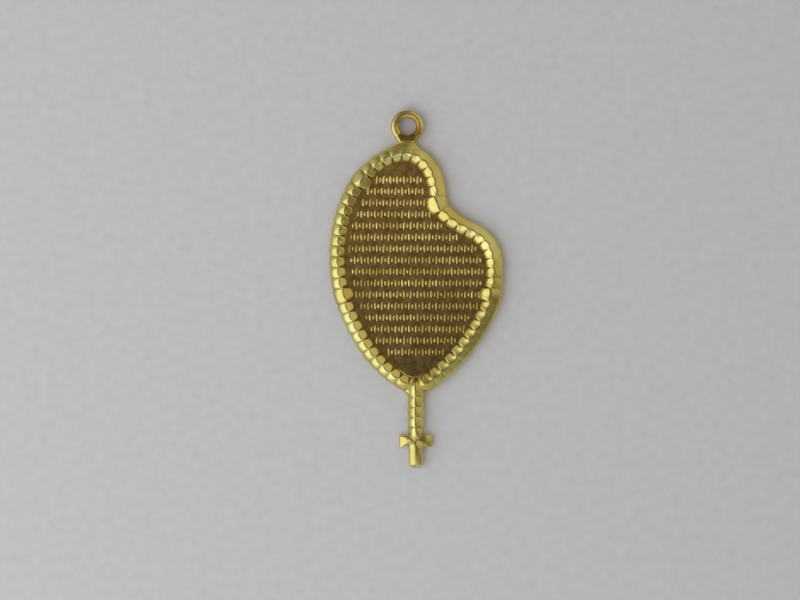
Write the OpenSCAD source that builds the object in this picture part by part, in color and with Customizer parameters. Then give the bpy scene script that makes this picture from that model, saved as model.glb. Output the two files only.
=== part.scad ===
// Prayer pendant: a string of prayer beads bent into a lopsided heart, cast in one piece with the
// panel inside it, the bail loop above it and the beaded stem and cross below it.
// It lies on its flat back with its face up. +Y points to the bail loop, +X to the low lobe.
// All sizes are in millimetres.

/* [Beads] */
// Width of a small bead across the string
bead_w = 1.9; // [1.7:0.05:2.1]
// Small beads in each of the five tens
beads_in_ten = 10; // [8:1:11]
// Width of a large bead across the string
large_w = 2.5; // [2.2:0.05:2.8]
// Length of a large bead along the string
large_len = 1.75; // [1.5:0.05:2]
// How far a large bead sits in from the string, towards the panel
large_inset = 0.2; // [0:0.05:0.3]
// Depth of the groove between two small beads
groove = 0.13; // [0.08:0.01:0.2]
// Height of the small beads' middle line above the back
bead_z = 0.6; // [0.45:0.05:0.75]
// Height of the large beads' middle line above the back
large_z = 0.5; // [0.3:0.05:0.6]

/* [Panel] */
// Thickness of the panel inside the heart
panel_t = 0.8; // [0.6:0.05:1]

/* [Raised grains] */
// Rows of grains across the panel
rows = 16; // [12:1:16]
// Distance from one row to the next
row_pitch = 1.35; // [1.2:0.05:1.4]
// Distance from one grain to the next in its row
grain_pitch = 0.4; // [0.4:0.05:1.2]
// Width of a grain
grain_w = 0.28; // [0.16:0.02:0.36]
// Length of a tall grain, up the panel
grain_tall = 0.95; // [0.6:0.05:1.05]
// Length of a short grain
grain_short = 0.6; // [0.3:0.05:0.8]
// Height of a grain above the panel
grain_h = 0.2; // [0.1:0.05:0.3]
// Distance kept between a grain's middle and the beads
grain_margin = 0.45; // [0.3:0.05:0.8]

/* [Bail loop] */
// Diameter of the hole
hole_d = 2.1; // [1.8:0.05:2.3]
// Diameter over the loop
bail_d = 3.85; // [3.6:0.05:4.2]
// Thickness of the loop
bail_t = 1.2; // [1:0.05:1.4]
// Rounding of the loop's face edges
bail_round = 0.3; // [0.1:0.05:0.35]
// Width of the neck where it meets the beads
neck_w = 2; // [1.6:0.1:2.4]
// Thickness of the neck
neck_t = 0.95; // [0.8:0.05:1.2]
// Thickness of the shoulder, where the neck spreads into the beads
shoulder_t = 1.2; // [1:0.05:1.3]

/* [Stem and cross] */
// Length of the join bead, where the string closes
join_len = 2.05; // [1.8:0.05:2.2]
// Width of the join bead
join_w = 2.05; // [1.9:0.05:2.2]
// Small beads between the join bead and the cross
stem_beads = 3; // [2:1:4]
// Length of a stem bead
stem_bead_len = 1.2; // [1.1:0.05:1.3]
// Span of the cross from side to side
cross_span = 3.9; // [3.4:0.1:4.4]
// Length of the cross below its middle
cross_foot = 3.3; // [2.6:0.05:3.8]
// Length of the cross above its middle, up to the stem
cross_head = 1.5; // [1.3:0.05:1.8]
// Width of the side arms at their flared ends
arm_end_w = 1.56; // [1.4:0.02:1.8]
// Width of the side arms at the middle of the cross
arm_mid_w = 1.1; // [0.9:0.05:1.3]
// Width of the foot and the head at the middle of the cross
foot_w = 1.7; // [1.5:0.05:1.9]
// Width of the foot at its end
foot_end_w = 1.5; // [1.3:0.05:1.7]
// Height of the side arms' middle line above the back
arm_z = 0.25; // [0.2:0.05:0.6]
// Rounding at the ends of the side arms
arm_round = 0.3; // [0.1:0.05:0.4]
// Rounding at the end of the foot
foot_round = 0.6; // [0.3:0.05:0.65]
// Thickness of the web between the beads and the stem
web_t = 1.1; // [0.9:0.05:1.2]

/* [Hidden] */
$fn = 48;

// Knots of the string, clockwise from the high left one. A large bead sits on each but the join.
// A knot has a place, a heading on arrival and one on leaving, in degrees from +X, and the reach of
// the curve along each.
X = 0;
Y = 1;
HEADING_IN = 2;
REACH_IN = 3;
HEADING_OUT = 4;
REACH_OUT = 5;
KNOTS = [
    // x,    y,     in,     reach, out,    reach
    [-6.6,   12.9,  52,     4.3,   52,     6.1],
    [2.6,    10.1,  -90,    7,     -59,    5.2],
    [9,      -0.75, -99.5,  9.3,   -99.5,  3.15],
    [-0.1,   -11.5, -168,   3.8,   -197,   4.55],
    [-8.75,  -0.7,  -254,   4.45,  -254,   4.55],
];
JOIN = 3;
tens = len(KNOTS);

// Middle of the bail's hole, beside the knots above
bail_at = [-1.1, 19.15];
// Where the neck is narrowest, just above the beads, and where it ends under them
neck_y = 17.3;
neck_root_y = 16;
// The shoulder spreads unevenly, because the string falls away on its right. A row has a place
// along Y and a reach to the left and to the right of the bail's middle.
SHOULDER = [
    [17.3, 1.04, 1.02],
    [17.1, 1.24, 1.1],
    [16.95, 1.55, 1.24],
    [16.8, 1.95, 1.42],
    [16.65, 2.3, 1.6],
    [16.2, 2.6, 1.75],
];
// Lengthwise line of the stem and the cross
stem_x = -0.1;
// The web between the beads and the stem: a place along Y and a reach to either side
WEB = [
    [-11.3, 2.1],
    [-11.75, 1.85],
    [-12, 1.5],
    [-12.2, 1.25],
    [-12.45, 1.08],
    [-12.75, 0.95],
];
// How far the join bead's middle is below its knot
join_drop = 0.1;
// How far a link between two beads stays off their middles, hidden inside them
link_gap = 0.3;
// Straight steps in a ten when its length is measured
steps = 60;

function knot(i) = KNOTS[i % tens];
function place(k) = [k[X], k[Y]];
function along(heading) = [cos(heading), sin(heading)];
function handle_out(k) = place(k) + k[REACH_OUT] * along(k[HEADING_OUT]);
function handle_in(k) = place(k) - k[REACH_IN] * along(k[HEADING_IN]);

// Point at the share t, from 0 to 1, of ten i
function on_ten(i, t) =
    pow(1 - t, 3) * place(knot(i))
    + 3 * t * pow(1 - t, 2) * handle_out(knot(i))
    + 3 * t * t * (1 - t) * handle_in(knot(i + 1))
    + t * t * t * place(knot(i + 1));

// Table of the length run so far against t, along ten i
function run_table(i) = [
    for (k = 0, run = 0; k <= steps; k = k + 1, run = run + norm(on_ten(i, k / steps)
        - on_ten(i, (k - 1) / steps)))
    [run, k / steps]
];
function end_share(i) = (i % tens == JOIN ? join_w : large_len) / 2;

// Middles of the small beads of ten i, evenly spaced between its end beads
function ten_beads(i) =
    let (
        run = run_table(i),
        room = run[steps][0] - end_share(i) - end_share(i + 1),
        pitch = room / beads_in_ten
    )
    [
        for (j = [0 : beads_in_ten - 1])
        on_ten(i, lookup(end_share(i) + pitch * (j + 0.5), run))
    ];
small_beads = [for (i = [0 : tens - 1]) each ten_beads(i)];

// Middles of the large beads, set in to the right of the string's way
large_beads = [
    for (i = [0 : tens - 1])
    if (i != JOIN)
    let (heading = (knot(i)[HEADING_IN] + knot(i)[HEADING_OUT]) / 2)
    place(knot(i)) + large_inset * along(heading - 90)
];

join_at = [stem_x, KNOTS[JOIN][Y] - join_drop];
stem_top = join_at[Y] - join_len / 2;
cross_at = [stem_x, stem_top - stem_beads * stem_bead_len - cross_head];

// Box of the whole pendant, which is centred on the origin
left = min([for (b = small_beads) b[X]]) - bead_w / 2;
right = max([for (b = small_beads) b[X]]) + bead_w / 2;
top = bail_at[Y] + bail_d / 2;
bottom = cross_at[Y] - cross_foot;
middle = [(left + right) / 2, (top + bottom) / 2];

// The panel reaches to the middle of every bead
panel_outline = [
    for (i = [0 : tens - 1])
    each concat(
        [i == JOIN ? join_at : place(knot(i))],
        ten_beads(i)
    )
];
function crosses(p, a, b) =
    (a[Y] > p[Y]) != (b[Y] > p[Y])
    && p[X] < a[X] + (p[Y] - a[Y]) / (b[Y] - a[Y]) * (b[X] - a[X]);
function inside(p) =
    let (n = len(panel_outline))
    len([
        for (k = [0 : n - 1])
        if (crosses(p, panel_outline[k], panel_outline[(k + 1) % n]))
        1
    ]) % 2 == 1;
function clear_of_beads(p, reach) =
    min([for (b = small_beads) norm(p - b) - bead_w / 2]) > reach
    && min([for (b = large_beads) norm(p - b) - large_w / 2]) > reach;

module bead(at, width, z) {
    translate([at[X], at[Y], z])
        sphere(d = width);
}

// Round metal between two beads, the floor of the groove
module link(from, to) {
    way = to - from;
    translate([from[X], from[Y], bead_z])
        rotate([0, 90, atan2(way[Y], way[X])])
            translate([0, 0, link_gap])
                cylinder(d = bead_w - 2 * groove, h = norm(way) - 2 * link_gap);
}

module border() {
    for (b = small_beads)
        bead(b, bead_w, bead_z);
    for (b = large_beads)
        bead(b, large_w, large_z);
    for (k = [0 : len(panel_outline) - 1])
        link(panel_outline[k], panel_outline[(k + 1) % len(panel_outline)]);
}

module panel() {
    linear_extrude(panel_t)
        polygon(panel_outline);
}

module grain(length) {
    translate([0, 0, panel_t / 2])
        linear_extrude(panel_t / 2 + grain_h)
            polygon([
                [0, length / 2],
                [grain_w / 2, length / 4],
                [grain_w / 2, -length / 4],
                [0, -length / 2],
                [-grain_w / 2, -length / 4],
                [-grain_w / 2, length / 4],
            ]);
}

// Tall and short grains take turns, and each row starts half a step beside the last
module relief() {
    across = ceil((right - left) / grain_pitch);
    for (row = [0 : rows - 1])
        for (k = [0 : across]) {
            at = [
                left + (k + (row % 2) / 2) * grain_pitch,
                KNOTS[0][Y] - row * row_pitch,
            ];
            length = (k + row) % 2 == 0 ? grain_tall : grain_short;
            if (inside(at) && clear_of_beads(at, grain_margin))
                translate([at[X], at[Y], 0])
                    grain(length);
        }
}

module stem() {
    bead(join_at, join_w, bead_z);
    for (k = [0 : stem_beads - 1])
        bead([stem_x, stem_top - (k + 0.5) * stem_bead_len], bead_w, bead_z);
    translate([stem_x, join_at[Y], bead_z])
        rotate([90, 0, 0])
            cylinder(d = bead_w - groove, h = join_at[Y] - cross_at[Y]);
}

// Plate along a line of constant X, through rows of a place along Y and two reaches
module spread(x, rows, thickness) {
    linear_extrude(thickness)
        polygon(concat(
            [for (row = rows) [x - row[1], row[0]]],
            [for (k = [len(rows) - 1 : -1 : 0]) [x + rows[k][2], rows[k][0]]]
        ));
}

module web() {
    spread(stem_x, [for (row = WEB) [row[0], row[1], row[1]]], web_t);
}

// Arm of the cross along +X, rounded at its end
module arm(length, mid_w, end_w, edge) {
    rotate([0, 90, 0])
        rotate_extrude() {
            polygon([
                [0, 0],
                [mid_w / 2, 0],
                [end_w / 2, length - edge],
                [end_w / 2 - edge, length],
                [0, length],
            ]);
            translate([end_w / 2 - edge, length - edge])
                intersection() {
                    circle(r = edge);
                    square(2 * edge);
                }
        }
}

// The head of the cross is the end of the stem's rod
module cross() {
    translate([cross_at[X], cross_at[Y], 0]) {
        for (turn = [0, 180])
            translate([0, 0, arm_z])
                rotate([0, 0, turn])
                    arm(cross_span / 2, arm_mid_w, arm_end_w, arm_round);
        translate([0, 0, bead_z])
            rotate([0, 0, -90])
                arm(cross_foot, foot_w, foot_end_w, foot_round);
    }
}

// Half outline of the loop's rim, whose face edges are rounded
module rim() {
    wall = (bail_d - hole_d) / 2;
    translate([hole_d / 2, 0]) {
        square([wall, bail_t - bail_round]);
        translate([bail_round, 0])
            square([wall - 2 * bail_round, bail_t]);
        for (x = [bail_round, wall - bail_round])
            translate([x, bail_t - bail_round])
                circle(r = bail_round);
    }
}

// The neck's sides leave the loop where they touch its circle
module neck() {
    drop = neck_y - bail_at[Y];
    root = neck_root_y - bail_at[Y];
    touch = atan2(drop, neck_w / 2) + acos(bail_d / 2 / norm([neck_w / 2, drop]));
    linear_extrude(neck_t)
        polygon([
            bail_d / 2 * along(touch),
            [neck_w / 2, drop],
            [neck_w / 2, root],
            [-neck_w / 2, root],
            [-neck_w / 2, drop],
            bail_d / 2 * along(180 - touch),
        ]);
}

module bail() {
    translate([bail_at[X], bail_at[Y], 0])
        difference() {
            union() {
                rotate_extrude()
                    rim();
                neck();
            }
            translate([0, 0, -1])
                cylinder(d = hole_d, h = bail_t + 2);
        }
}

// Everything above the flat back
module above_back() {
    room = 5;
    intersection() {
        children();
        translate([left - room, bottom - room, 0])
            cube([right - left + 2 * room, top - bottom + 2 * room, room]);
    }
}

module pendant() {
    color("#b9a24a")
        translate([-middle[X], -middle[Y], 0]) {
            bail();
            spread(bail_at[X], SHOULDER, shoulder_t);
            panel();
            relief();
            web();
            above_back() {
                border();
                stem();
                cross();
            }
        }
}

pendant();
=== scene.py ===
# %% [markdown]
# # A cast brass prayer pendant
# The real thing is one small casting: a string of prayer beads bent into a lopsided heart, a panel
# inside it, a loop to hang it by, and a short stem that ends in a cross. The construction model
# already holds its true size, so this lesson only builds finer shapes in the same place and gives
# them their finish.
#
# The frame is loaded first. It is in metres, with +Z out of the pendant's face. The pendant's own
# sizes are written in millimetres, and become metres where a mesh is made from them.

# %% Load the frame
import math

import bmesh
import bpy
import numpy as np
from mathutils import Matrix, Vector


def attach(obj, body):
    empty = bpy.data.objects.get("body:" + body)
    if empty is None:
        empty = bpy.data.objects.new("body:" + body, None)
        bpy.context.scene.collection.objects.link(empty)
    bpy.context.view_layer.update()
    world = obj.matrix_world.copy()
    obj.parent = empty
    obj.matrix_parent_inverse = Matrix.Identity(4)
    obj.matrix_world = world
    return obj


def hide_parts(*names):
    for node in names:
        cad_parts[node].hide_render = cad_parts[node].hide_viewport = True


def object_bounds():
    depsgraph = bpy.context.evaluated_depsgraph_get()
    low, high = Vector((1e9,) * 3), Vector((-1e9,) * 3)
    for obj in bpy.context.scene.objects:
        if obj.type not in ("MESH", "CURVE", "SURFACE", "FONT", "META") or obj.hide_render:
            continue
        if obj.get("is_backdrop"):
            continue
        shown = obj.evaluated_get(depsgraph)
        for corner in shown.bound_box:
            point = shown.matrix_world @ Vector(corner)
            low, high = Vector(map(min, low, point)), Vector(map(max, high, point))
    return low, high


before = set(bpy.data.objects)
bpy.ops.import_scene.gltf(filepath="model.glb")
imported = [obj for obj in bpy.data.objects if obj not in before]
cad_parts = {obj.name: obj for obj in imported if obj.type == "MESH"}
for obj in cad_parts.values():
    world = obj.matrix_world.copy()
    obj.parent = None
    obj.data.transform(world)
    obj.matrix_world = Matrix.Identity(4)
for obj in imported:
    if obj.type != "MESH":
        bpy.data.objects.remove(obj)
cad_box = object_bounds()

MM = 0.001
print("nodes:", sorted(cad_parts), "box:", [round(x, 5) for x in cad_box[1] - cad_box[0]])

# %% [markdown]
# ## The camera
# The pendant is seen from straight above, so a camera that looks down -Z needs no turning. A long
# lens from a third of a metre keeps the beads at the edge as round as those in the middle. The lens
# is worked out from how much paper the picture shows across, and the camera stands a little left of
# the pendant and below it, because that is how the picture is framed.

# %% Camera
CAMERA_HEIGHT = 340 * MM
PICTURE_WIDTH = 94.12 * MM
PICTURE_MIDDLE = (-1.93 * MM, -1.27 * MM)
# The picture's width is taken at the height of the beads' middles
BEAD_LEVEL = 0.6 * MM
# The film that the lens is reckoned for, in millimetres
FILM_WIDTH = 36

camera = bpy.data.objects.new("camera", bpy.data.cameras.new("camera"))
camera.data.sensor_width = FILM_WIDTH
camera.data.lens = FILM_WIDTH * (CAMERA_HEIGHT - BEAD_LEVEL) / PICTURE_WIDTH
camera.data.clip_start = 10 * MM
camera.location = (*PICTURE_MIDDLE, CAMERA_HEIGHT)
bpy.context.scene.collection.objects.link(camera)
bpy.context.scene.camera = camera
print("lens:", round(camera.data.lens, 1), "mm")

# %% [markdown]
# ## The string of beads
# Every bead sits on one closed line, so the line comes first. It could be drawn by hand as a curve
# object, but then its sizes would be hidden in handles. Here it is made of five curves, one for each
# ten beads, that meet at five knots. Each knot has a place, a direction on arrival and one on
# leaving, and how far the curve keeps to each. Those are just what a cubic curve needs, so the whole
# heart is thirty numbers.
#
# A large bead sits on four of the knots and the string closes at the fifth. The line turns sharply at
# the notch and at the bottom, and a tube that follows a sharp corner folds into itself. So the
# stretch under each knot's bead is bridged with a smooth curve instead.

# %% The heart's line
KNOTS = [
    # x, y, heading in, reach in, heading out, reach out
    (-6.6, 12.9, 52, 4.3, 52, 6.1),
    (2.6, 10.1, -90, 7, -59, 5.2),
    (9, -0.75, -99.5, 9.3, -99.5, 3.15),
    (-0.1, -11.5, -168, 3.8, -197, 4.55),
    (-8.75, -0.7, -254, 4.45, -254, 4.55),
]
TENS = len(KNOTS)
# The knot where the string closes
JOIN = 3
# Moves the middle of the pendant's outline to the origin
TO_MIDDLE = np.array([0.02975, -0.025])
LARGE_LENGTH = 1.75
# Half the length of the smooth stretch where the string closes
JOIN_HALF = 1.025
# Points that each ten is measured with
LINE_POINTS = 401
# Short step along the string, which tells its direction
STEP = 0.05


def along(heading):
    return np.array([math.cos(math.radians(heading)), math.sin(math.radians(heading))])


def ten(i):
    """Closely spaced points of ten i, and the length run so far at each."""
    start, end = KNOTS[i % TENS], KNOTS[(i + 1) % TENS]
    a, d = np.array(start[:2]), np.array(end[:2])
    b, c = a + start[5] * along(start[4]), d - end[3] * along(end[2])
    t = np.linspace(0, 1, LINE_POINTS)[:, None]
    points = (1 - t) ** 3 * a + 3 * t * (1 - t) ** 2 * b + 3 * t * t * (1 - t) * c + t**3 * d
    run = np.concatenate([[0], np.cumsum(np.linalg.norm(np.diff(points, axis=0), axis=1))])
    return points + TO_MIDDLE, run


def at_run(i, lengths):
    """Points of ten i at these lengths from its start."""
    points, run = ten(i)
    return np.column_stack([np.interp(lengths, run, points[:, k]) for k in (0, 1)])


def half_bead(i):
    """Half the length of the bead on knot i."""
    return JOIN_HALF if i % TENS == JOIN else LARGE_LENGTH / 2


def bridge(i, t):
    """Smooth stretch of the string under the bead on knot i, at the shares t of its length."""
    arriving = ten(i - 1)[1][-1] - half_bead(i)
    a, b = at_run(i - 1, [arriving - STEP, arriving])
    d, c = at_run(i, [half_bead(i) + STEP, half_bead(i)])
    reach = np.linalg.norm(c - b)
    leave, arrive = (b - a) / STEP * reach, (d - c) / STEP * reach
    t = np.asarray(t)[:, None]
    return (
        (2 * t**3 - 3 * t**2 + 1) * b
        + (t**3 - 2 * t**2 + t) * leave
        + (3 * t**2 - 2 * t**3) * c
        + (t**3 - t**2) * arrive
    )


print("length of each ten:", [round(float(ten(i)[1][-1]), 2) for i in range(TENS)], "mm")

# %% [markdown]
# ## What each point of the string carries
# Cast beads could be made as balls in a row, but they aren't separate: they are one skin with a
# groove pressed in between each two. That is a tube along the string whose radius dips at every
# groove. So each point of the line carries what the tube needs there: where it stands between two
# grooves, from -1 to 1, and eight values of its bead. The points crowd together near the grooves,
# where the surface bends most.

# %% Kinds of bead
BEADS_IN_TEN = 10
SMALL_WIDTH = 1.9
LARGE_WIDTH = 2.5
# Lengths in millimetres, but fullness is a power. The lower it is, the longer a bead keeps its full
# width towards the groove, and the thinner the gap beside it.
BEAD_VALUES = (
    "half_width",
    "groove_in",  # depth of the groove on the panel's side
    "groove_out",  # depth of the groove on the outside
    "inset",  # how far the bead's middle is moved in
    "lift",  # how far the bead's middle is moved up
    "ridge",  # how far the ridge is moved in from the string
    "reach",  # how much further in the part inside the ridge stands
    "fullness",
)
COLUMN = {name: k for k, name in enumerate(BEAD_VALUES)}
SMALL = (SMALL_WIDTH / 2, 0.55, 0.02, 0, 0, -0.05, 0, 0.28)
LARGE = (LARGE_WIDTH / 2, 0.85, 0.2, 0.2, -0.12, -0.05, 0, 0.3)
# The string is smooth where it closes
SMOOTH = (0.9, 0, 0, 0.05, -0.2, -0.05, 0, 0.28)
# Points of the string in one bead, close enough to draw its curve
STEPS_IN_BEAD = 12

# Shares of a bead's length, from -1 to 1, without the first, which belongs to the bead before
across_bead = -np.cos(np.pi * np.arange(1, STEPS_IN_BEAD + 1) / STEPS_IN_BEAD)
places, across, kinds = [], [], []
for i in range(TENS):
    places.append(bridge(i, (across_bead + 1) / 2))
    across.append(across_bead)
    kinds += [SMOOTH if i == JOIN else LARGE] * STEPS_IN_BEAD
    length = ten(i)[1][-1] - half_bead(i) - half_bead(i + 1)
    for k in range(BEADS_IN_TEN):
        middle = half_bead(i) + length * (k + 0.5) / BEADS_IN_TEN
        places.append(at_run(i, middle + across_bead * length / BEADS_IN_TEN / 2))
        across.append(across_bead)
        kinds += [SMALL] * STEPS_IN_BEAD
string = np.concatenate(places)
across = np.concatenate(across)
kinds = np.array(kinds)
print("string of", len(string), "points")

# %% [markdown]
# ## Worn and unworn sides
# The real beads don't look alike all round. On the left the outer grooves still show. On the right
# the outside is worn smooth, and the inner ends stand further in, like a row of pearls. Those
# changes could be made bead by bead, but they follow from one thing: which way the panel lies from
# the string. So each change is tied to that direction, and fades in and out by itself. The belly is
# the stretch on the right where the string runs straight down.

# %% Differences between the sides
# On the left the outer grooves are this much deeper
LEFT_GROOVE = 0.12
# On the right the inner ends stand this much further in, and up to twice that lower down
RIGHT_REACH = 0.14
# Change of the fullness on the right, made twice on the belly
RIGHT_FULLNESS = -0.07
# On the belly the ridge is this much further in
BELLY_RIDGE = 0.13
# How quickly a point counts as left or right, as low down, and as part of the belly
SIDE_GAIN = 1.5
LOW_GAIN = 2
BELLY_GAIN = 4
BELLY_START = 0.75

# The panel lies to the right of the way along the string
way = np.roll(string, -1, axis=0) - np.roll(string, 1, axis=0)
way /= np.linalg.norm(way, axis=1)[:, None]
inward = np.column_stack([way[:, 1], -way[:, 0]])
on_left = np.clip(SIDE_GAIN * inward[:, 0], 0, 1)
on_right = np.clip(-SIDE_GAIN * inward[:, 0], 0, 1)
low_down = np.clip(LOW_GAIN * inward[:, 1], 0, 1)
on_belly = np.clip(BELLY_GAIN * (-inward[:, 0] - BELLY_START), 0, 1)
has_groove = kinds[:, COLUMN["groove_in"]] > 0
kinds[:, COLUMN["groove_out"]] += LEFT_GROOVE * on_left * has_groove
kinds[:, COLUMN["ridge"]] += BELLY_RIDGE * on_belly
kinds[:, COLUMN["reach"]] += RIGHT_REACH * on_right * (1 + low_down)
kinds[:, COLUMN["fullness"]] += RIGHT_FULLNESS * (on_right + on_belly)
print("deepest outer groove:", round(kinds[:, COLUMN["groove_out"]].max(), 3), "mm")

# %% [markdown]
# ## One way to add a node
# Geometry and materials are both built from nodes here. Writing each node's settings and links out
# takes many lines, so a single helper does it for every kind of node. An input may get a plain
# value, another node's output, or a whole node, which then stands for its first output.

# %% Node helper
# The kinds of node that sums are made of
NUMBERS = "ShaderNodeMath"
VECTORS = "ShaderNodeVectorMath"
BLEND = "ShaderNodeMix"


def add(tree, kind, inputs=(), **settings):
    """Adds a node. Its inputs are listed in their order, or in a dict by name or number."""
    made = tree.nodes.new(kind)
    for name, value in settings.items():
        setattr(made, name, value)
    if not isinstance(inputs, dict):
        inputs = dict(enumerate(inputs))
    for key, value in inputs.items():
        if isinstance(value, bpy.types.Node):
            value = value.outputs[0]
        if isinstance(value, bpy.types.NodeSocket):
            tree.links.new(value, made.inputs[key])
        else:
            made.inputs[key].default_value = value
    return made


# %% [markdown]
# ## Brass, three ways
# The whole pendant is one raw brass casting, yet the eye sees three finishes. The beads, loop and
# cross were tumbled, so they are lemon yellow and softly bright, with a brown in grooves and corners
# that is partly tarnish and partly painted shade. The panel between them is a darker brown, which is
# painted shade, and darker towards the bottom. The raised grains on it caught a little of the polish
# on their tops.
#
# Three materials could each be built apart, but one metal calls for one function. Clouds of tarnish
# about three millimetres wide vary the colour, and smaller patches vary how sharp the reflections
# are. A fine bump stands for the skin that the mould leaves. The real skin is finer than a pixel
# here, so it is drawn 0.2 to 0.3 mm wide, as coarse as it needs to show.

# %% Brass
# Clouds of tarnish and patches of polish, by how many of them fit in a millimetre
CLOUDS = 0.35
PATCHES = 1.3
# How much sharper and duller than its middle value the polish is, from patch to patch
SHARPER = 0.06
DULLER = 0.07
# Heights on the heart between which a colour can fade
FADE_TOP = 14
FADE_FOOT = -10


def linear(hex_colour):
    """A hex colour as the eye knows it, turned to the linear values that the shader needs."""
    parts = [int(hex_colour[k : k + 2], 16) / 255 for k in (1, 3, 5)]
    return [c / 12.92 if c <= 0.04045 else ((c + 0.055) / 1.055) ** 2.4 for c in parts] + [1]


def brass(name, clean, dull, recess, roughness, grain_size, grain_depth, fade=0.0):
    """Cast brass: two colours that drift into each other, a tarnish and painted shade brown, and a grain
    in mm.

    With a fade of 0 the drift is in clouds, and with 1 it goes from the heart's top to its bottom.
    """
    material = bpy.data.materials.new(name)
    material.use_nodes = True
    tree = material.node_tree
    shader = tree.nodes["Principled BSDF"]
    shader.inputs["Metallic"].default_value = 1
    place = add(tree, "ShaderNodeTexCoord").outputs["Object"]
    # One unit of the patterns is a millimetre
    mm = add(tree, "ShaderNodeMapping", {"Vector": place, "Scale": (1 / MM,) * 3})
    clouds = add(tree, "ShaderNodeTexNoise", {"Vector": mm, "Scale": CLOUDS, "Detail": 4})
    drift = add(
        tree,
        "ShaderNodeMapRange",
        {"Value": clouds, "From Min": 0.35, "From Max": 0.65},
        interpolation_type="SMOOTHSTEP",
    )
    height = add(tree, "ShaderNodeSeparateXYZ", [mm]).outputs["Y"]
    down = add(
        tree, "ShaderNodeMapRange", {"Value": height, "From Min": FADE_TOP, "From Max": FADE_FOOT}
    )
    drift = add(tree, BLEND, {0: fade, 2: drift, 3: down}, data_type="FLOAT")
    skin = add(tree, BLEND, {0: drift, 6: linear(clean), 7: linear(dull)}, data_type="RGBA")
    # How brown a point is, from 0 to 1, is an attribute of the piece's own mesh: partly tarnish, partly
    # painted shade
    brown = add(tree, "ShaderNodeAttribute", attribute_name="recess").outputs["Fac"]
    colour = add(
        tree, BLEND, {0: brown, 6: skin.outputs[2], 7: linear(recess)}, data_type="RGBA"
    ).outputs[2]
    patches = add(tree, "ShaderNodeTexNoise", {"Vector": mm, "Scale": PATCHES, "Detail": 5})
    blur = add(
        tree,
        "ShaderNodeMapRange",
        {
            "Value": patches,
            "From Min": 0.3,
            "From Max": 0.7,
            "To Min": roughness - SHARPER,
            "To Max": roughness + DULLER,
        },
    )
    grain = add(
        tree,
        "ShaderNodeTexNoise",
        {"Vector": mm, "Scale": 1 / grain_size, "Detail": 3, "Roughness": 0.6},
    )
    bump = add(
        tree, "ShaderNodeBump", {"Height": grain, "Distance": grain_depth * MM, "Strength": 1}
    )
    tree.links.new(colour, shader.inputs["Base Color"])
    tree.links.new(blur.outputs[0], shader.inputs["Roughness"])
    tree.links.new(bump.outputs[0], shader.inputs["Normal"])
    return material


# %% The three finishes
# Tumbled brass: soft, lemon highlights, and a brown that is partly tarnish and partly painted shade
tumbled = brass(
    "tumbled_cast_brass", "#E0D788", "#D1C16C", "#9A6E2E",
    roughness=0.22, grain_size=0.3, grain_depth=0.012,
)
# Panel brass: brown and even, darker than the beads as painted shade, and a little darker lower
# down, so that beads and grains stand out
panel_brass_painted_shade = brass(
    "dulled_cast_brass", "#C2A35C", "#988450", "#5A4020",
    roughness=0.27, grain_size=0.2, grain_depth=0.008, fade=0.85,
)
# Burnished brass: bright tops, the glint that makes the rows sparkle
burnished = brass(
    "burnished_cast_brass", "#F8EA9C", "#BCA255", "#7A5A22",
    roughness=0.22, grain_size=0.2, grain_depth=0.006, fade=0.5,
)
print("materials:", [m.name for m in (tumbled, panel_brass_painted_shade, burnished)])

# %% [markdown]
# ## The section of a bead
# The tree further on sweeps a circle of radius one along the string. After the sweep a vertex's
# offset from the line is simply its direction, and its true place is worked out from that.
#
# First the circle is squared off, because the mould pressed the real beads into blocks with rounded
# edges, more so on the panel's side. A ready-made square profile would give the same edges all
# round. The rule of the superellipse needs only one number for each side: the sideways part and the
# upward part, both raised to that power, add up to one. A power of 2 leaves the section round.

# %% Square off the section
def squared_off(tree, given, offset, inward_way):
    """The offset on the squared section, and how far it lies to the panel's side."""
    flank = add(tree, VECTORS, (offset, inward_way), operation="DOT_PRODUCT").outputs["Value"]
    height = add(tree, "ShaderNodeSeparateXYZ", [offset]).outputs["Z"]
    within = add(tree, NUMBERS, (flank, 0.0), operation="GREATER_THAN")
    power = add(
        tree,
        BLEND,
        {0: within, 2: given["Squareness outside"], 3: given["Squareness inside"]},
        data_type="FLOAT",
    )
    raised = []
    for part in (flank, height):
        size = add(tree, NUMBERS, [part], operation="ABSOLUTE")
        raised.append(add(tree, NUMBERS, (size, power), operation="POWER"))
    total = add(tree, NUMBERS, raised, operation="ADD")
    root = add(tree, NUMBERS, (-1.0, power), operation="DIVIDE")
    stretch = add(tree, NUMBERS, (total, root), operation="POWER")
    side = add(tree, NUMBERS, (flank, stretch), operation="MULTIPLY")
    return add(tree, VECTORS, {0: offset, "Scale": stretch}, operation="SCALE"), side


# %% [markdown]
# ## Ridge and grooves
# Along its top each bead has a ridge, where its outer and inner parts meet. Two lines draw it. One
# runs straight along the string. The other touches it at the bead's middle and bows in towards the
# grooves, which gives the inner part the round outline of a pearl. The inner groove starts at that
# second line and soon has its full depth. The outer groove is shallow.
#
# Beside the ridge both flanks are lowered. The square of the distance, divided by the distance plus
# a little, makes them nearly straight and keeps the ridge itself round. Between the two lines the
# skin goes on rising a little, so that it mirrors the light and not the dark overhead.

# %% Depth of the grooves
# From the second line to where the groove has its full depth, as a share of the bead's half width
GROOVE_START = 0.4


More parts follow.
